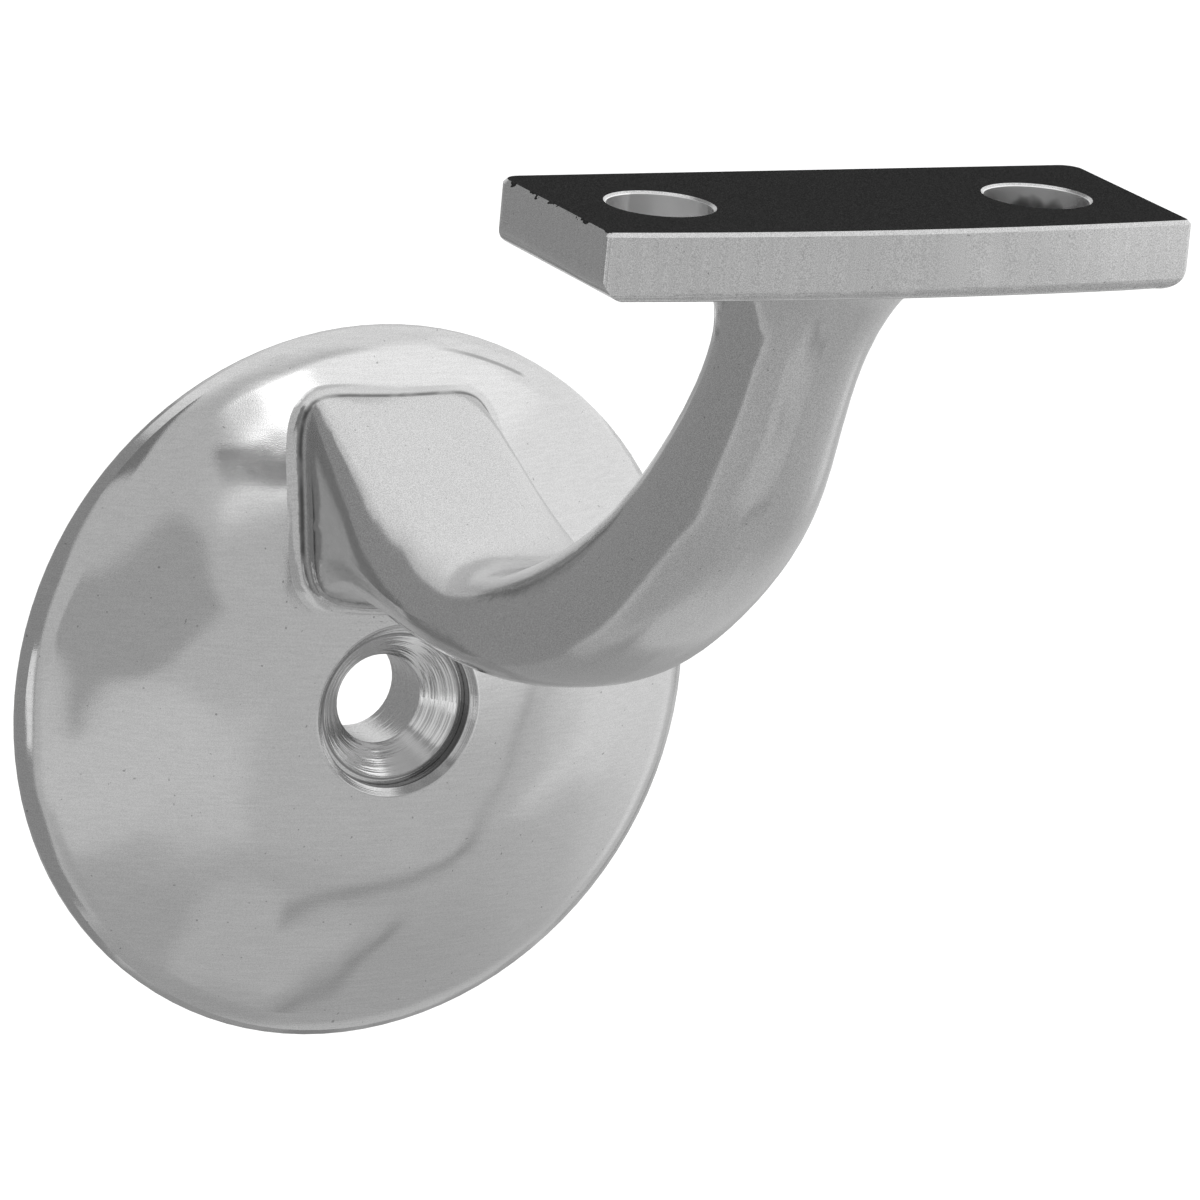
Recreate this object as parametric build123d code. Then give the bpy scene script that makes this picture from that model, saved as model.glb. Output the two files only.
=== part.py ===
from build123d import *
import math
import os

# Wall-mounted handrail bracket, one casting: a domed rose that stands on the wall, an arm that
# leaves the rose above its screw hole and turns up, and a flat saddle that carries the rail.
# Millimetres. The origin is the centre of the rose on the wall, +X runs along the rail,
# -Y points out from the wall and +Z points up. A reach is a distance out from the wall.

# Rose: a dome with a short upright rim, chamfered, and a shallow ring sunk into its back
ROSE_DIAMETER = 70.0
DOME_HEIGHT = 11.2
RIM_HEIGHT = 0.6
RIM_CHAMFER = 0.6
RELIEF_DEPTH = 2.0
RELIEF_OUTER_DIAMETER = 50.0
RELIEF_INNER_DIAMETER = 28.0

# Screw hole through the middle of the rose
SCREW_BORE_DIAMETER = 8.7
SCREW_BORE_LENGTH = 6.15
COUNTERSINK_DEPTH = 2.85
COUNTERSINK_ANGLE = 86.0
HEAD_RECESS_DIAMETER = 15.4
HEAD_RECESS_CHAMFER = 0.7

# Saddle under the rail
SADDLE_HEIGHT = 68.2
SADDLE_REACH = 88.2
SADDLE_LENGTH = 57.6
SADDLE_WIDTH = 21.8
SADDLE_THICKNESS = 6.25
SADDLE_FRONT_BOW = 1.4
SADDLE_BACK_CORNER = 2.0
SADDLE_FRONT_CORNER = 0.8
SADDLE_END_ROUND = 2.8
SADDLE_BOTTOM_ROUND = 1.1
SADDLE_TOP_CHAMFER = 0.35
RAIL_SCREW_SPACING = 37.2
RAIL_SCREW_DIAMETER = 9.4
RAIL_SCREW_CHAMFER = 0.25

# Arm: where its middle line runs, and the width and thickness of its section on the way. The root
# stands between the screw's recess and the rim, with a land to each. A drop is how far the middle
# line has come down from the root.
ROOT_RECESS_LAND = 0.9
ROOT_RIM_LAND = 3.5
ROOT_DROP_ANGLE = 8.0
ROOT_WIDTH = 18.8
COLLAR_REACH = 9.3
COLLAR_DROP = 1.2
COLLAR_WIDTH = 20.2
COLLAR_THICKNESS = 17.7
SHOULDER_REACH = 18.2
SHOULDER_DROP = 2.2
SHOULDER_WIDTH = 21.8
SHOULDER_THICKNESS = 12.3
WAIST_REACH = 35.7
WAIST_HEIGHT = 16.1
WAIST_WIDTH = 22.0
WAIST_THICKNESS = 9.8
BEND_REACH = 60.6
BEND_HEIGHT = 26.4
BEND_WIDTH = 18.1
BEND_THICKNESS = 12.3
STEM_REACH = 74.2
STEM_HEIGHT = 40.3
STEM_WIDTH = 15.7
STEM_THICKNESS = 11.6
NECK_SETBACK = 7.5
NECK_LEAN_ANGLE = 18.0
NECK_WIDTH = 14.4
NECK_THICKNESS = 10.9

# How full a quarter of the arm's section is: 0.55 is an ellipse and 1 is close to a square
ROOT_FULLNESS = 1.0
SHOULDER_FULLNESS = 0.75
ARM_FULLNESS = 0.62

# Blends at the two ends of the arm. The arm meets the saddle just inside its back edge.
ROOT_FILLET = 2.0
FLARE_HEIGHT = 8.0
FLARE_SIDE_REACH = 10.0
FLARE_FRONT_REACH = 8.6
FLARE_STEPS = 2
FLARE_SWEEP = 80.0
BACK_EDGE_LAND = 0.4

# How far solids that are fused or cut run past each other, and how near the dome a crease edge lies
OVERLAP = 0.5
CREASE_TOLERANCE = 0.01

underside = SADDLE_HEIGHT - SADDLE_THICKNESS
saddle_back = SADDLE_WIDTH / 2 - SADDLE_REACH
root_bottom = HEAD_RECESS_DIAMETER / 2 + HEAD_RECESS_CHAMFER + ROOT_RECESS_LAND
root_top = ROSE_DIAMETER / 2 - RIM_CHAMFER - ROOT_RIM_LAND
root_height = (root_top + root_bottom) / 2


def dome_sphere():
    """Radius of the dome's sphere, which ends at the rim's chamfer, and how far out its centre lies."""
    edge = ROSE_DIAMETER / 2 - RIM_CHAMFER
    drop = DOME_HEIGHT - RIM_HEIGHT - RIM_CHAMFER
    radius = (edge**2 + drop**2) / (2 * drop)
    return radius, DOME_HEIGHT - radius


def make_dome():
    """The rose's domed body, turned from its half section."""
    rim = ROSE_DIAMETER / 2
    top = (0, -DOME_HEIGHT)
    edge = (rim - RIM_CHAMFER, -RIM_HEIGHT - RIM_CHAMFER)
    dome = TangentArc(top, edge, tangent=(1, 0))
    outline = Polyline(edge, (rim, -RIM_HEIGHT), (rim, 0), (0, 0), top)
    return revolve(make_face([dome, outline]), Axis.Y)


def make_back_relief():
    """The shallow ring cut behind the rose, which leaves its rim and the screw boss to bear."""
    outer = Circle(RELIEF_OUTER_DIAMETER / 2)
    inner = Circle(RELIEF_INNER_DIAMETER / 2)
    return extrude(Plane.XZ * (outer - inner), RELIEF_DEPTH)


def make_screw_hole():
    """Bore, countersink and recess for the head of the wall screw, with a chamfer round the recess."""
    bore = SCREW_BORE_DIAMETER / 2
    recess = HEAD_RECESS_DIAMETER / 2
    mouth = recess + HEAD_RECESS_CHAMFER
    radius, centre = dome_sphere()
    mouth_reach = centre + math.sqrt(radius**2 - mouth**2)
    floor = SCREW_BORE_LENGTH + COUNTERSINK_DEPTH
    cone = bore + COUNTERSINK_DEPTH * math.tan(math.radians(COUNTERSINK_ANGLE / 2))
    clear = DOME_HEIGHT + OVERLAP
    half_section = make_face(Polyline(
        (0, OVERLAP),
        (bore, OVERLAP),
        (bore, -SCREW_BORE_LENGTH),
        (cone, -floor),
        (recess, -floor),
        (recess, HEAD_RECESS_CHAMFER - mouth_reach),
        (mouth, -mouth_reach),
        (mouth, -clear),
        (0, -clear),
        close=True,
    ))
    return revolve(half_section, Axis.Y)


def make_section(plane, half_width, inner, outer, fullness):
    """A closed outline of four quarter curves on a plane whose local +Y is the arm's inner side."""
    def quarter(x, y):
        return Bezier((x, 0), (x, fullness * y), (fullness * x, y), (0, y))

    return plane * make_face([
        quarter(half_width, inner),
        quarter(-half_width, inner),
        quarter(-half_width, -outer),
        quarter(half_width, -outer),
    ])


def make_flare_sections(neck):
    """Sections that widen the neck along quarter ellipses to its front and sides, up into the saddle."""
    lean = math.radians(NECK_LEAN_ANGLE)
    half = NECK_THICKNESS / 2 / math.cos(lean)
    inner_start = neck.Y + half
    inner_end = saddle_back - BACK_EDGE_LAND
    sweep = math.radians(FLARE_SWEEP)
    sections = []
    for step in range(1, FLARE_STEPS + 1):
        angle = sweep * step / FLARE_STEPS
        rise = (FLARE_HEIGHT + OVERLAP) * math.sin(angle) / math.sin(sweep)
        spread = 1 - math.cos(angle)
        middle = neck.Y - rise * math.tan(lean)
        inner = inner_start + (inner_end - inner_start) * rise / FLARE_HEIGHT
        sections.append(make_section(
            Plane((0, middle, neck.Z + rise)),
            NECK_WIDTH / 2 + FLARE_SIDE_REACH * spread,
            inner - middle,
            half + FLARE_FRONT_REACH * spread,
            ARM_FULLNESS,
        ))
    return sections


def make_arm():
    """The arm: square and deep at the rose, flat at the waist, and flared under the saddle."""
    drop = math.radians(ROOT_DROP_ANGLE)
    lean = math.radians(NECK_LEAN_ANGLE)
    root = Vector(0, -OVERLAP, root_height)
    collar = Vector(0, -COLLAR_REACH, root_height - COLLAR_DROP)
    shoulder = Vector(0, -SHOULDER_REACH, root_height - SHOULDER_DROP)
    waist = Vector(0, -WAIST_REACH, WAIST_HEIGHT)
    bend = Vector(0, -BEND_REACH, BEND_HEIGHT)
    stem = Vector(0, -STEM_REACH, STEM_HEIGHT)
    neck = Vector(0, NECK_SETBACK - SADDLE_REACH, underside - FLARE_HEIGHT)
    path = Spline(
        root, collar, shoulder, waist, bend, stem, neck,
        tangents=[(0, -math.cos(drop), -math.sin(drop)), (0, -math.sin(lean), math.cos(lean))],
    )

    def station(point, width, thickness, fullness, facing=None):
        facing = facing or path % path.param_at_point(point)
        plane = Plane(origin=point, x_dir=(1, 0, 0), z_dir=facing)
        return make_section(plane, width / 2, thickness / 2, thickness / 2, fullness)

    outward = (0, -1, 0)
    return loft([
        station(root, ROOT_WIDTH, root_top - root_bottom, ROOT_FULLNESS, outward),
        station(collar, COLLAR_WIDTH, COLLAR_THICKNESS, ROOT_FULLNESS, outward),
        station(shoulder, SHOULDER_WIDTH, SHOULDER_THICKNESS, SHOULDER_FULLNESS),
        station(waist, WAIST_WIDTH, WAIST_THICKNESS, ARM_FULLNESS),
        station(bend, BEND_WIDTH, BEND_THICKNESS, ARM_FULLNESS),
        station(stem, STEM_WIDTH, STEM_THICKNESS, ARM_FULLNESS),
        station(neck, NECK_WIDTH, NECK_THICKNESS, ARM_FULLNESS),
        *make_flare_sections(neck),
    ])


def make_saddle_outline():
    """The saddle seen from above, with a bowed front edge."""
    half = SADDLE_LENGTH / 2
    front = saddle_back - SADDLE_WIDTH
    outline = make_face([
        Polyline((-half, front), (-half, saddle_back), (half, saddle_back), (half, front)),
        ThreePointArc((half, front), (0, front - SADDLE_FRONT_BOW), (-half, front)),
    ])
    outline = fillet(outline.vertices().group_by(Axis.Y)[-1], SADDLE_BACK_CORNER)
    return fillet(outline.vertices().group_by(Axis.Y)[0], SADDLE_FRONT_CORNER)


def make_saddle():
    """The saddle plate: rounded along its ends and front edge below, with a light chamfer on top."""
    half = SADDLE_LENGTH / 2
    front = saddle_back - SADDLE_WIDTH - SADDLE_FRONT_BOW
    bow_radius = (half**2 + SADDLE_FRONT_BOW**2) / (2 * SADDLE_FRONT_BOW)
    plate = extrude(Pos(0, 0, underside) * make_saddle_outline(), SADDLE_THICKNESS)

    end_profile = Rectangle(SADDLE_LENGTH, SADDLE_THICKNESS, align=(Align.CENTER, Align.MIN))
    end_profile = fillet(end_profile.vertices().group_by(Axis.Y)[0], SADDLE_END_ROUND)
    plate &= extrude(Plane.XZ * Pos(0, underside) * end_profile, OVERLAP - front)

    bow_centre = front + bow_radius
    edge_start = (0, front, underside + SADDLE_BOTTOM_ROUND)
    edge_end = (0, front + SADDLE_BOTTOM_ROUND, underside)
    bowed_half = make_face([
        TangentArc(edge_start, edge_end, tangent=(0, 0, -1)),
        Polyline(
            edge_end,
            (0, bow_centre, underside),
            (0, bow_centre, SADDLE_HEIGHT),
            (0, front, SADDLE_HEIGHT),
            edge_start,
        ),
    ])
    plate &= revolve(bowed_half, Axis((0, bow_centre, 0), (0, 0, 1)))

    return chamfer(plate.faces().sort_by(Axis.Z)[-1].outer_wire().edges(), SADDLE_TOP_CHAMFER)


def make_rail_screw_holes():
    """Both holes through the saddle for the rail's screws, each with a light chamfer at the top."""
    radius = RAIL_SCREW_DIAMETER / 2
    middle = saddle_back - (SADDLE_WIDTH + SADDLE_FRONT_BOW) / 2
    start = underside - FLARE_HEIGHT
    drill = Pos(0, 0, start) * extrude(Circle(radius), SADDLE_HEIGHT + OVERLAP - start)
    rim = Pos(0, 0, SADDLE_HEIGHT - RAIL_SCREW_CHAMFER / 2) * Cone(
        radius, radius + RAIL_SCREW_CHAMFER, RAIL_SCREW_CHAMFER
    )
    half = RAIL_SCREW_SPACING / 2
    return [Pos(x, middle) * (drill + rim) for x in (-half, half)]


def make_bracket():
    """The whole casting, with the arm blended into the rose before the holes are cut."""
    radius, centre = dome_sphere()
    dome_centre = Vector(0, -centre, 0)
    body = make_dome() + make_arm()
    crease = [
        edge for edge in body.edges()
        if abs(((edge @ 0.5) - dome_centre).length - radius) < CREASE_TOLERANCE
        and (edge @ 0.5).Z > 0
        and edge.geom_type == GeomType.BSPLINE
    ]
    body = fillet(crease, ROOT_FILLET)
    return body + make_saddle() - make_rail_screw_holes() - make_back_relief() - make_screw_hole()


def main():
    os.makedirs("parts", exist_ok=True)
    bracket = make_bracket()
    export_step(bracket, "parts/bracket_casting.step")
    print("bracket_casting", round(bracket.volume), "cubic millimetres, solids:", len(bracket.solids()))


if __name__ == "__main__":
    main()
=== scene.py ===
import math
from collections import namedtuple
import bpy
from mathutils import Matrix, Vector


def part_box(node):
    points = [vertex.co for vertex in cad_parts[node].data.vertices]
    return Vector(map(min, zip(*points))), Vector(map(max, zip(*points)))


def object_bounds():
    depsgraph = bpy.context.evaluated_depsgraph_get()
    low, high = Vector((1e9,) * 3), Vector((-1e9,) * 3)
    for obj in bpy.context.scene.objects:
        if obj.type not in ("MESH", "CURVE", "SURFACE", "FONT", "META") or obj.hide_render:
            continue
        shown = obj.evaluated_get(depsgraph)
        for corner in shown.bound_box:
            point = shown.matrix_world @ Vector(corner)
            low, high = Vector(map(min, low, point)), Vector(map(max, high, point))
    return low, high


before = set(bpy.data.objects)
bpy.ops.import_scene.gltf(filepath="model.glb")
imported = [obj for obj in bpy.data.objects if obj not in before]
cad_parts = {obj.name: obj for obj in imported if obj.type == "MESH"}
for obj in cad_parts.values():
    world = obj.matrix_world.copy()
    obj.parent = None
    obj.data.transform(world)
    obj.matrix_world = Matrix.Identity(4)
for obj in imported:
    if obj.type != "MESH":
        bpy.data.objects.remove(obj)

from types import SimpleNamespace

import bpy
from mathutils import Matrix

# Looks of a wall-mounted handrail bracket: one polished casting with a satin grain, a rough dark
# top face under the rail and turned marks in its screw hole. Metres, in the frame of the packed
# part: +X along the rail, -Y out from the wall, +Z up.

CASTING = "bracket_casting"
MM = 0.001

# Camera: the photograph's viewpoint, in metres and degrees. Its sensor and lens are in millimetres
# and its shift is in shares of the frame's width.
CAMERA_PLACE = (-0.47087, -0.94325, 0.28036)
CAMERA_AZIMUTH = 27.751
CAMERA_DOWN = 14.412
CAMERA_ROLL = 5.240
CAMERA_SENSOR = 36.0
CAMERA_LENS = 343.66
CAMERA_SHIFT = (0.00436, 0.00513)
CAMERA_NEAR = 0.05
CAMERA_FAR = 20.0

# Floor: a pale sheet well below the bracket, and the lamp over it
FLOOR_DROP = 0.22
FLOOR_HALF = 6.0
FLOOR_GREY = 0.86
FLOOR_LIGHT = 1.6
FLOOR_LIGHT_SPREAD = 60.0

# Studio light: an even grey room and cards in front of it. All of a card but its level is in
# degrees. Azimuth 0 lies behind the wall, 90 to the right and 180 in front. A later card covers an
# earlier one.
ROOM_LIGHT = 0.64
Card = namedtuple("Card", "azimuth half_width elevation half_height feather level tilt")
CARDS = {
    "ceiling": (0.0, 180.0, 84.0, 24.0, 20.0, 1.00, 0.0),
    "low_front": (150.0, 80.0, -62.0, 20.0, 26.0, 0.52, 0.0),
    "low_paper": (0.0, 180.0, -86.0, 14.0, 16.0, 0.48, 0.0),
    "front_left": (-155.0, 24.0, -24.0, 12.0, 14.0, 0.76, 0.0),
    "right_low": (94.0, 24.0, -18.0, 11.0, 14.0, 0.93, 0.0),
    "arm_front": (158.0, 22.0, -56.0, 9.0, 8.0, 0.62, 0.0),
    "arm_line": (126.0, 3.0, -57.0, 10.0, 4.0, 0.40, 0.0),
    "right": (92.0, 48.0, 26.0, 36.0, 26.0, 1.10, 0.0),
    "back_right": (42.0, 34.0, 46.0, 30.0, 30.0, 1.02, 0.0),
    "key": (152.0, 34.0, 37.0, 15.0, 10.0, 1.24, 0.0),
    "key_core": (175.0, 9.0, 37.5, 7.0, 5.0, 2.10, -14.0),
    "dark_side": (-62.0, 57.0, -6.0, 60.0, 5.0, 0.35, 0.0),
    "dark_high": (-127.0, 13.0, 48.0, 13.0, 5.0, 0.25, 0.0),
    "cone_light": (-113.0, 4.0, -16.0, 12.0, 3.0, 1.00, 0.0),
    "dark_back": (14.0, 22.0, -38.0, 30.0, 10.0, 0.40, 0.0),
    "lens": (-157.5, 17.0, 1.5, 8.5, 3.0, 0.47, -40.0),
    "strip": (129.0, 1.8, -28.0, 13.0, 3.0, 0.55, 0.0),
    "low_strip": (144.0, 19.0, -44.0, 1.7, 3.0, 0.41, -25.0),
}

# A slow noise bends the cards, so that their edges aren't ruler straight: how fine it is, in how
# many octaves, how many degrees it reaches, and where it is read for each of the two angles
WARP_SCALE = 2.2
WARP_DETAIL = 1.0
WARP_REACH = 10.0
AZIMUTH_WARP = 3.0
ELEVATION_WARP = 9.0

# Sizes of the casting, in millimetres. The rose's radius and the saddle's top come from the frame.
DOME_CREST = 11.2
RIM_CHAMFER = 0.6
BORE_RADIUS = 4.35
CONE_RADIUS = 7.0
RECESS_RADIUS = 7.7
RECESS_MOUTH_RADIUS = 8.4
SADDLE_LEFT = -28.8
RAIL_HOLE_SIDE = 18.6
RAIL_HOLE_REACH = 88.9
RAIL_HOLE_RADIUS = 4.7

# Noises, as (cycles for each millimetre, octaves of finer detail), and the part of a noise's range
# that is used. The brush marks run across the rose and the streaks run down the saddle's edge, so
# these two are stretched along X, Y and Z first.
NOISE_RANGE = (0.3, 0.7)
GRAIN = (11.0, 0.0)
MOTTLE = (0.12, 3.0)
WAVES = (0.09, 1.0)
PATCHES = (0.3, 2.0)
PITS = (2.8, 0.0)
SPECKS = (13.0, 0.0)
RINGS = (2.6, 2.0)
TOP_EDGE_NOISE = (1.3, 3.0)
SPILL_NOISE = (0.9, 3.0)
BRUSH_MARKS = (1.0, 3.0)
BRUSH_STRETCH = (0.25, 1.2, 5.0)
STREAKS = (1.0, 4.0)
STREAK_STRETCH = (1.6, 1.6, 0.06)

# Zones of the surface. A pair says where a zone's edge starts and stops fading, in millimetres, or
# for a facing as a share of the normal. What follows a size of the casting is counted from there.
ROSE_EDGE = (0.15, 1.2)
BACK_FACING = (0.90, 0.97)
BACK_EDGE = (-3.0, -2.6)
TOP_FACING = (0.75, 0.95)
TOP_EDGE = (-0.26, -0.14)
TOP_EDGE_SWING = (-0.12, 0.12)
SPILL_EDGE = (-0.10, -0.02)
SPILL_SWING = (-0.75, 0.45)
SPILL_END = (0.4, 1.4)
SCREW_HOLE_BACK = (-1.2, -0.6)
SCREW_HOLE_EDGE = (0.0, 0.15)
CONE_INNER_EDGE = (0.02, 0.15)
CONE_OUTER_EDGE = (-0.1, 0.02)
WALL_EDGE = (0.03, 0.07)
GAP_PLACE = 0.12
GAP_EDGE = (0.06, 0.16)
RAIL_HOLE_EDGE = (0.02, 0.1)
RAIL_HOLE_END = (-18.2, -17.2)
RIGHT_SIDE = (0.0, 1.0)
UPPER_DARK_EDGE = (-3.0, -1.6)
UPPER_DARK_SWING = (-1.2, 1.2)

# Painted shade: a dark line painted in the crease where the arm's fillet runs out on the dome: how
# far above the dome its line lies, and the slanting height and the distance from the screw hole at
# which it starts
CREASE_LIFT = 0.50
CREASE_EDGE = (0.03, 0.28)
CREASE_LOW_EDGE = (0.05, 0.15)
CREASE_PATCHES = (0.30, 0.60)
CREASE_STRENGTH = (0.30, 0.85)
CREASE_SLANT = 0.6
CREASE_FROM = (16.0, 20.0)
CREASE_OFF_AXIS = (9.0, 10.0)

# Painted reflection: a thin dark arc painted along the rose's edge for a dark line reflected in its
# polish, from one slant to another, where a slant is X over Z
REFLECTION_ARC_INSET = 1.6
REFLECTION_ARC_EDGE = (0.06, 0.22)
REFLECTION_ARC_START = (0.12, 0.30)
REFLECTION_ARC_STOP = (0.46, 0.50)
REFLECTION_ARC_STRENGTH = 0.7
REFLECTION_ARC_LOWEST = 1.0

# Tone: what share of the light the metal gives back, and by how much its grain and marks change it.
# The streaks start at a height counted from the saddle's top, and the shade from its hole's middle.
METAL_TONE = 0.62
ARM_GRAIN_TONE = 0.12
ROSE_GRAIN_TONE = 0.055
BACK_GRAIN_TONE = 0.13
BRUSH_TONE = 0.02
STREAK_TONE = 0.018
STREAKS_FROM = (-8.2, -6.7)
PIT_SHARE = (0.83, 0.87)
PIT_TONE = 0.25
# Painted shade: the dark line in the crease at the arm's root
CREASE_PAINTED_SHADE = 0.10
# Painted reflection: the thin dark arc on the rose
REFLECTION_ARC_TONE = 0.25
# Screw hole: the turned cone is brighter bare metal and painted light, and the wall and the gap are
# painted shade
CONE_TONE_AND_PAINTED_LIGHT = 0.90
WALL_PAINTED_SHADE = 0.16
GAP_PAINTED_SHADE = 0.25
# Painted light inside the rail holes
LEFT_HOLE_PAINTED_LIGHT = (1.0, 0.72)
LEFT_HOLE_SHADE = (-0.8, -0.4)
RIGHT_HOLE_PAINTED_LIGHT = 0.95
UPPER_DARK_TONE = 0.22
DUST_SHARE = (0.35, 0.70)
DUST_TONES = (0.012, 0.032)
BRIGHT_DUST_SHARE = (0.76, 0.92)
BRIGHT_DUST_TONE = 0.02

# Roughness, where a pair is mottled from one to the other
ARM_ROUGHNESS = (0.10, 0.16)
ROSE_ROUGHNESS = (0.05, 0.11)
SCREW_HOLE_ROUGHNESS = 0.16
RAIL_HOLE_ROUGHNESS = 0.32
BACK_ROUGHNESS = 0.42
TOP_ROUGHNESS = 0.80

# Relief, as heights in millimetres, and the rose's rolled edge: how wide it is, how far it falls
# for each square millimetre past its start, and where it fades, out from the wall
GRAIN_HEIGHT = 0.0018
WAVE_HEIGHT = 0.30
RING_HEIGHT = 0.054
ROLL_WIDTH = 2.6
ROLL_FALL = 0.085
ROLL_FRONT = (-13.0, -12.0)
ROLL_BACK = (-0.12, -0.02)


class Nodes:
    """A small builder for a node tree."""

    def __init__(self, tree):
        self.tree = tree
        tree.nodes.clear()

    def add(self, kind, settings=None, **inputs):
        """Adds a node. Inputs are values or output sockets, by name, or by place as i0 and on."""
        node = self.tree.nodes.new(kind)
        for name, value in (settings or {}).items():
            setattr(node, name, value)
        for name, value in inputs.items():
            by_place = name[0] == "i" and name[1:].isdigit()
            socket = node.inputs[int(name[1:]) if by_place else name.replace("_", " ")]
            self.put(socket, value)
        return node

    def put(self, socket, value):
        """Links an output socket to an input, or sets the input's own value."""
        if isinstance(value, bpy.types.NodeSocket):
            self.tree.links.new(value, socket)
        else:
            socket.default_value = value

    def math(self, operation, a, b=0.0):
        return self.add("ShaderNodeMath", {"operation": operation}, i0=a, i1=b).outputs[0]

    def plus(self, a, b):
        return self.math("ADD", a, b)

    def minus(self, a, b):
        return self.math("SUBTRACT", a, b)

    def times(self, product, *factors):
        for factor in factors:
            product = self.math("MULTIPLY", product, factor)
        return product

    def wrap(self, angle):
        """The same angle within half a turn of 0, in degrees."""
        node = self.add("ShaderNodeMath", {"operation": "WRAP"}, i0=angle, i1=180.0, i2=-180.0)
        return node.outputs[0]

    def length(self, a, b):
        """The length of a line that runs by a one way and by b square to it."""
        return self.math("SQRT", self.plus(self.times(a, a), self.times(b, b)))

    def off(self, value, place):
        """How far a value lies from a place, to either side."""
        return self.math("ABSOLUTE", self.minus(value, place))

    def vector(self, operation, vector, **inputs):
        node = self.add("ShaderNodeVectorMath", {"operation": operation}, i0=vector, **inputs)
        return node.outputs[0]

    def split(self, vector):
        return self.add("ShaderNodeSeparateXYZ", i0=vector).outputs

    def ramp(self, value, start, stop, to_start, to_stop, smooth=True):
        """Maps a value from start..stop to to_start..to_stop, held at both ends."""
        kind = "SMOOTHSTEP" if smooth else "LINEAR"
        node = self.add(
            "ShaderNodeMapRange", {"interpolation_type": kind, "clamp": True},
            i0=value, i1=start, i2=stop, i3=to_start, i4=to_stop,
        )
        return node.outputs[0]

    def rise(self, value, edge, place=0.0):
        """0 before an edge that is counted from a place, and 1 past it."""
        return self.ramp(value, place + edge[0], place + edge[1], 0.0, 1.0)

    def fall(self, value, edge, place=0.0):
        """1 before an edge that is counted from a place, and 0 past it."""
        return self.ramp(value, place + edge[0], place + edge[1], 1.0, 0.0)

    def swing(self, noise, low, high, smooth=True):
        """Maps the used part of a noise's range to low..high."""
        return self.ramp(noise, *NOISE_RANGE, low, high, smooth)

    def mix(self, share, a, b):
        node = self.add("ShaderNodeMix", {"data_type": "FLOAT"}, i0=share, i2=a, i3=b)
        return node.outputs[0]

    def noise(self, place, scale, detail):
        node = self.add("ShaderNodeTexNoise", Vector=place, Scale=scale, Detail=detail)
        return node.outputs["Fac"]

    def grey(self, value):
        return self.add("ShaderNodeCombineColor", i0=value, i1=value, i2=value).outputs[0]


def warp_angle(n, angle, direction, shift):
    """Moves an angle of the room by a noise that is read some way off along X."""
    noise = n.noise(n.vector("ADD", direction, i1=(shift, 0.0, 0.0)), WARP_SCALE, WARP_DETAIL)
    return n.plus(angle, n.ramp(noise, 0.0, 1.0, -WARP_REACH, WARP_REACH, smooth=False))


def cover_card(n, azimuth, elevation, card):
    """1 on a card and 0 off it, with a soft edge as wide as its feather."""
    turn = n.wrap(n.minus(azimuth, card.azimuth))
    rise = n.minus(elevation, card.elevation)
    cosine = math.cos(math.radians(card.tilt))
    sine = math.sin(math.radians(card.tilt))
    wide = n.plus(n.times(turn, cosine), n.times(rise, sine))
    high = n.minus(n.times(rise, cosine), n.times(turn, sine))
    across = n.minus(n.math("ABSOLUTE", wide), card.half_width)
    along = n.minus(n.math("ABSOLUTE", high), card.half_height)
    return n.fall(n.math("MAXIMUM", across, along), (-card.feather / 2, card.feather / 2))


def make_room():
    """The studio's light: an even room with cards in front of it."""
    world = bpy.data.worlds.new("studio")
    world.use_nodes = True
    bpy.context.scene.world = world
    n = Nodes(world.node_tree)
    direction = n.add("ShaderNodeTexCoord").outputs["Generated"]
    x, y, z = n.split(direction)
    azimuth = n.math("DEGREES", n.math("ARCTAN2", x, y))
    azimuth = warp_angle(n, azimuth, direction, AZIMUTH_WARP)
    elevation = n.math("DEGREES", n.math("ARCSINE", z))
    elevation = warp_angle(n, elevation, direction, ELEVATION_WARP)
    level = ROOM_LIGHT
    for card in (Card(*row) for row in CARDS.values()):
        level = n.mix(cover_card(n, azimuth, elevation, card), level, card.level)
    background = n.add("ShaderNodeBackground", Color=n.grey(level), Strength=1.0)
    n.add("ShaderNodeOutputWorld", Surface=background.outputs[0])


def make_floor():
    """A plain pale floor, seen from above only, and a wide soft lamp that lights it."""
    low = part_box(CASTING)[0].z - FLOOR_DROP
    corners = [(-FLOOR_HALF, -FLOOR_HALF, low), (FLOOR_HALF, -FLOOR_HALF, low)]
    corners += [(FLOOR_HALF, FLOOR_HALF, low), (-FLOOR_HALF, FLOOR_HALF, low)]
    mesh = bpy.data.meshes.new("floor")
    mesh.from_pydata(corners, [], [(0, 1, 2, 3)])
    floor = bpy.data.objects.new("floor", mesh)
    bpy.context.scene.collection.objects.link(floor)
    floor.visible_glossy = False

    material = bpy.data.materials.new("floor_paper")
    material.use_nodes = True
    n = Nodes(material.node_tree)
    paper = n.add("ShaderNodeBsdfDiffuse", Color=(FLOOR_GREY, FLOOR_GREY, FLOOR_GREY, 1.0))
    clear = n.add("ShaderNodeBsdfTransparent")
    behind = n.add("ShaderNodeNewGeometry").outputs["Backfacing"]
    either = n.add("ShaderNodeMixShader", i0=behind, i1=paper.outputs[0], i2=clear.outputs[0])
    n.add("ShaderNodeOutputMaterial", Surface=either.outputs[0])
    mesh.materials.append(material)

    lamp = bpy.data.lights.new("floor_lamp", "SUN")
    lamp.energy = FLOOR_LIGHT
    lamp.angle = math.radians(FLOOR_LIGHT_SPREAD)
    holder = bpy.data.objects.new("floor_lamp", lamp)
    holder.visible_glossy = False
    bpy.context.scene.collection.objects.link(holder)


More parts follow.
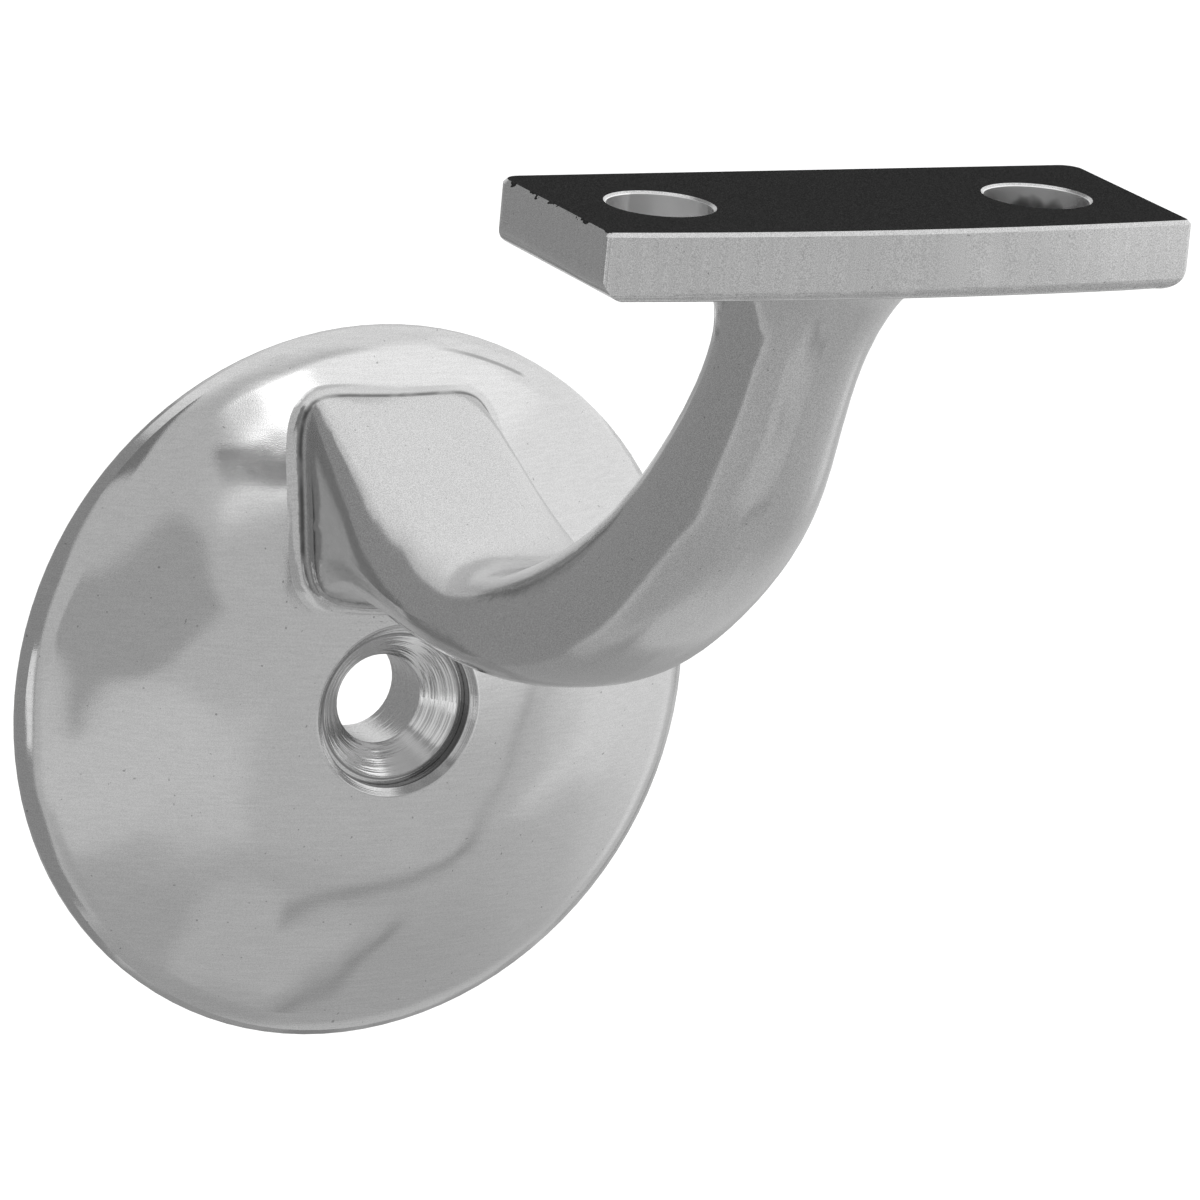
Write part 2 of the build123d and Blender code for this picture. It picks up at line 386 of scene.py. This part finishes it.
def make_camera():
    """The camera at the photograph's viewing angle."""
    data = bpy.data.cameras.new("camera")
    data.sensor_width = CAMERA_SENSOR
    data.lens = CAMERA_LENS
    data.shift_x, data.shift_y = CAMERA_SHIFT
    data.clip_start = CAMERA_NEAR
    data.clip_end = CAMERA_FAR
    camera = bpy.data.objects.new("camera", data)
    bpy.context.scene.collection.objects.link(camera)
    turn = Matrix.Rotation(-math.radians(CAMERA_AZIMUTH), 4, "Z")
    tilt = Matrix.Rotation(math.pi / 2 - math.radians(CAMERA_DOWN), 4, "X")
    roll = Matrix.Rotation(math.radians(CAMERA_ROLL), 4, "Z")
    camera.matrix_world = Matrix.Translation(CAMERA_PLACE) @ turn @ tilt @ roll
    bpy.context.scene.camera = camera


def find_dome_sphere(rose_radius):
    """How far out from the wall the dome's sphere has its centre, and its radius."""
    edge = rose_radius - RIM_CHAMFER
    drop = DOME_CREST - 2 * RIM_CHAMFER
    radius = (edge**2 + drop**2) / (2 * drop)
    return DOME_CREST - radius, radius


def locate(n, cad_box):
    """Where a shaded point lies and faces, two sizes of the casting, and the noises used twice."""
    right, _, top = cad_box[1]
    rose_radius, saddle_top = right / MM, top / MM
    mm = n.vector("SCALE", n.add("ShaderNodeTexCoord").outputs["Object"], Scale=1 / MM)
    x, y, z = n.split(mm)
    off_axis = n.length(x, z)
    centre, radius = find_dome_sphere(rose_radius)
    above_dome = n.minus(n.length(off_axis, n.plus(y, centre)), radius)
    _, facing_wall, facing_up = n.split(n.add("ShaderNodeNewGeometry").outputs["Normal"])
    return SimpleNamespace(
        mm=mm, x=x, y=y, z=z, off_axis=off_axis, above_dome=above_dome,
        facing_wall=facing_wall, facing_up=facing_up,
        rose_radius=rose_radius, saddle_top=saddle_top,
        grain=n.noise(mm, *GRAIN), patches=n.noise(mm, *PATCHES),
    )


def find_top(n, at):
    """The saddle's top face, left rough and dark, with a ragged edge that spills on the left."""
    ragged = n.swing(n.noise(at.mm, *TOP_EDGE_NOISE), *TOP_EDGE_SWING, smooth=False)
    face = n.rise(n.plus(at.z, ragged), TOP_EDGE, at.saddle_top)
    chipped = n.swing(n.noise(at.mm, *SPILL_NOISE), *SPILL_SWING, smooth=False)
    spill = n.rise(n.plus(at.z, chipped), SPILL_EDGE, at.saddle_top)
    return n.math(
        "MAXIMUM",
        n.times(face, n.rise(at.facing_up, TOP_FACING)),
        n.times(spill, n.fall(at.x, SPILL_END, SADDLE_LEFT)),
    )


def find_screw_hole(n, at):
    """The whole screw hole; its turned cone, brighter bare metal with painted light; and its wall
    and the gap between the two, painted dark as shade.
    """
    inside = n.fall(at.y, SCREW_HOLE_BACK)
    hole = n.fall(at.off_axis, SCREW_HOLE_EDGE, RECESS_MOUTH_RADIUS)
    past_bore = n.rise(at.off_axis, CONE_INNER_EDGE, BORE_RADIUS)
    in_cone = n.fall(at.off_axis, CONE_OUTER_EDGE, CONE_RADIUS)
    wall = n.fall(n.off(at.off_axis, RECESS_RADIUS), WALL_EDGE)
    gap = n.fall(n.off(at.off_axis, CONE_RADIUS + GAP_PLACE), GAP_EDGE)
    zones = (hole, n.times(past_bore, in_cone), wall, gap)
    return [n.times(inside, zone) for zone in zones]


def find_rail_holes(n, at):
    """Both holes for the rail's screws, and the upper part of the right one, which is darker."""
    side = n.minus(n.math("ABSOLUTE", at.x), RAIL_HOLE_SIDE)
    off_hole = n.length(side, n.plus(at.y, RAIL_HOLE_REACH))
    holes = n.times(
        n.fall(off_hole, RAIL_HOLE_EDGE, RAIL_HOLE_RADIUS),
        n.rise(at.z, RAIL_HOLE_END, at.saddle_top),
    )
    upper_dark = n.fall(n.plus(at.z, n.swing(at.patches, *UPPER_DARK_SWING)), UPPER_DARK_EDGE, at.saddle_top)
    return holes, n.times(upper_dark, n.rise(at.x, RIGHT_SIDE), holes)


def find_crease_shade(n, at):
    """A line of painted shade in the crease round the upper part of the arm's root, of uneven
    strength.
    """
    return n.times(
        n.fall(n.off(at.above_dome, CREASE_LIFT), CREASE_EDGE),
        n.rise(at.above_dome, CREASE_LOW_EDGE),
        n.ramp(at.patches, *CREASE_PATCHES, *CREASE_STRENGTH),
        n.rise(n.minus(at.z, n.times(at.x, CREASE_SLANT)), CREASE_FROM),
        n.rise(at.off_axis, CREASE_OFF_AXIS),
    )


def find_reflection_arc(n, at, on_rose):
    """A thin dark arc painted near the rose's upper right edge, as a painted reflection."""
    slant = n.math("DIVIDE", at.x, n.math("MAXIMUM", at.z, REFLECTION_ARC_LOWEST))
    return n.times(
        n.fall(n.off(at.off_axis, at.rose_radius - REFLECTION_ARC_INSET), REFLECTION_ARC_EDGE),
        n.rise(slant, REFLECTION_ARC_START),
        n.fall(slant, REFLECTION_ARC_STOP),
        on_rose,
        REFLECTION_ARC_STRENGTH,
    )


def find_zones(n, at):
    """How much of each zone covers a shaded point, from 0 to 1."""
    on_rose = n.fall(n.math("ABSOLUTE", at.above_dome), ROSE_EDGE)
    screw_hole, cone, wall, gap = find_screw_hole(n, at)
    rail_hole, upper_dark = find_rail_holes(n, at)
    return SimpleNamespace(
        rose=on_rose, screw_hole=screw_hole, cone=cone, wall=wall, gap=gap,
        rail_hole=rail_hole, upper_dark=upper_dark,
        top=find_top(n, at),
        back=n.times(n.rise(at.facing_wall, BACK_FACING), n.rise(at.y, BACK_EDGE)),
        crease=find_crease_shade(n, at),
        reflection_arc=find_reflection_arc(n, at, on_rose),
    )


def cover_zones(n, value, covers):
    """Mixes the value of each zone over what lies below it."""
    for zone, own in covers:
        value = n.mix(zone, value, own)
    return value


def mix_roughness(n, at, zones):
    """A polished rose and a satin arm, both mottled, and the rougher zones over them."""
    mottle = n.noise(at.mm, *MOTTLE)
    satin = n.swing(mottle, *ARM_ROUGHNESS)
    polish = n.swing(mottle, *ROSE_ROUGHNESS)
    return cover_zones(n, satin, [
        (zones.rose, polish),
        (zones.screw_hole, SCREW_HOLE_ROUGHNESS),
        (zones.rail_hole, RAIL_HOLE_ROUGHNESS),
        (zones.back, BACK_ROUGHNESS),
        (zones.top, TOP_ROUGHNESS),
    ])


def grain_tone(n, at, zones):
    """The bare metal's tone, with its grain, brush marks, streaks and pits."""
    depth = n.mix(zones.rose, ARM_GRAIN_TONE, ROSE_GRAIN_TONE)
    depth = n.mix(zones.back, depth, BACK_GRAIN_TONE)
    tone = n.plus(n.times(n.swing(at.grain, -1.0, 1.0, smooth=False), depth), METAL_TONE)

    brushed = n.noise(n.vector("MULTIPLY", at.mm, i1=BRUSH_STRETCH), *BRUSH_MARKS)
    tone = n.plus(tone, n.times(zones.rose, n.swing(brushed, -BRUSH_TONE, BRUSH_TONE)))

    streaks = n.noise(n.vector("MULTIPLY", at.mm, i1=STREAK_STRETCH), *STREAKS)
    streaks = n.swing(streaks, -STREAK_TONE, STREAK_TONE)
    tone = n.plus(tone, n.times(streaks, n.rise(at.z, STREAKS_FROM, at.saddle_top)))

    pits = n.rise(n.noise(at.mm, *PITS), PIT_SHARE)
    return n.minus(tone, n.times(pits, PIT_TONE))


def rail_hole_painted_light(n, at):
    """Painted light in the rail holes: the left hole is brighter towards its left, and the right
    one is bright all round.
    """
    left = n.ramp(n.plus(at.x, RAIL_HOLE_SIDE), *LEFT_HOLE_SHADE, *LEFT_HOLE_PAINTED_LIGHT)
    return n.mix(n.rise(at.x, RIGHT_SIDE), left, RIGHT_HOLE_PAINTED_LIGHT)


def dust_tone(n, at):
    """The dark top face, with fine dust and a few brighter specks."""
    specks = n.noise(at.mm, *SPECKS)
    dust = n.ramp(specks, *DUST_SHARE, *DUST_TONES)
    return n.plus(dust, n.ramp(specks, *BRIGHT_DUST_SHARE, 0.0, BRIGHT_DUST_TONE))


def mix_tone(n, at, zones):
    """The metal's tone, and the marks and zones over it, painted light and shade among them."""
    return cover_zones(n, grain_tone(n, at, zones), [
        # painted shade in the crease
        (zones.crease, CREASE_PAINTED_SHADE),
        # painted reflection: the dark arc on the rose
        (zones.reflection_arc, REFLECTION_ARC_TONE),
        # painted light on the turned cone, painted shade on the wall and in the gap
        (zones.cone, CONE_TONE_AND_PAINTED_LIGHT),
        (zones.wall, WALL_PAINTED_SHADE),
        (zones.gap, GAP_PAINTED_SHADE),
        # painted light inside the rail holes
        (zones.rail_hole, rail_hole_painted_light(n, at)),
        (zones.upper_dark, UPPER_DARK_TONE),
        (zones.top, dust_tone(n, at)),
    ])


def make_relief(n, at, zones):
    """The rose's rolled edge, and over it the grain, the polish's slow waves and turned rings."""
    past = n.math("MAXIMUM", n.minus(at.off_axis, at.rose_radius - ROLL_WIDTH), 0.0)
    roll = n.times(past, past, -ROLL_FALL, n.rise(at.y, ROLL_FRONT), n.fall(at.y, ROLL_BACK))
    form = n.add("ShaderNodeBump", Strength=1.0, Distance=MM, Height=roll)

    along_hole = n.add("ShaderNodeCombineXYZ", i0=at.off_axis, i1=at.y).outputs[0]
    rings = n.times(n.noise(along_hole, *RINGS), zones.screw_hole, RING_HEIGHT)
    waves = n.times(n.noise(at.mm, *WAVES), WAVE_HEIGHT)
    height = n.plus(n.plus(n.times(at.grain, GRAIN_HEIGHT), waves), rings)
    fine = n.add(
        "ShaderNodeBump", Strength=1.0, Distance=MM, Height=height, Normal=form.outputs[0]
    )
    return fine.outputs[0]


def make_casting_material(cad_box):
    """Polished metal with a fine satin grain, in zones: rose, arm and saddle, top and holes."""
    material = bpy.data.materials.new("polished_casting")
    material.use_nodes = True
    n = Nodes(material.node_tree)
    at = locate(n, cad_box)
    zones = find_zones(n, at)
    metal = n.add(
        "ShaderNodeBsdfPrincipled",
        Base_Color=n.grey(mix_tone(n, at, zones)),
        Roughness=mix_roughness(n, at, zones),
        Metallic=n.minus(1.0, zones.top),
        Normal=make_relief(n, at, zones),
        Specular_IOR_Level=0.0,
    )
    n.add("ShaderNodeOutputMaterial", Surface=metal.outputs[0])
    return material


cad_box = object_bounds()
bpy.context.scene.view_settings.view_transform = "Standard"
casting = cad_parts[CASTING]
material = make_casting_material(cad_box)
for material_slot in casting.material_slots:
    material_slot.material = material
make_room()
make_floor()
make_camera()
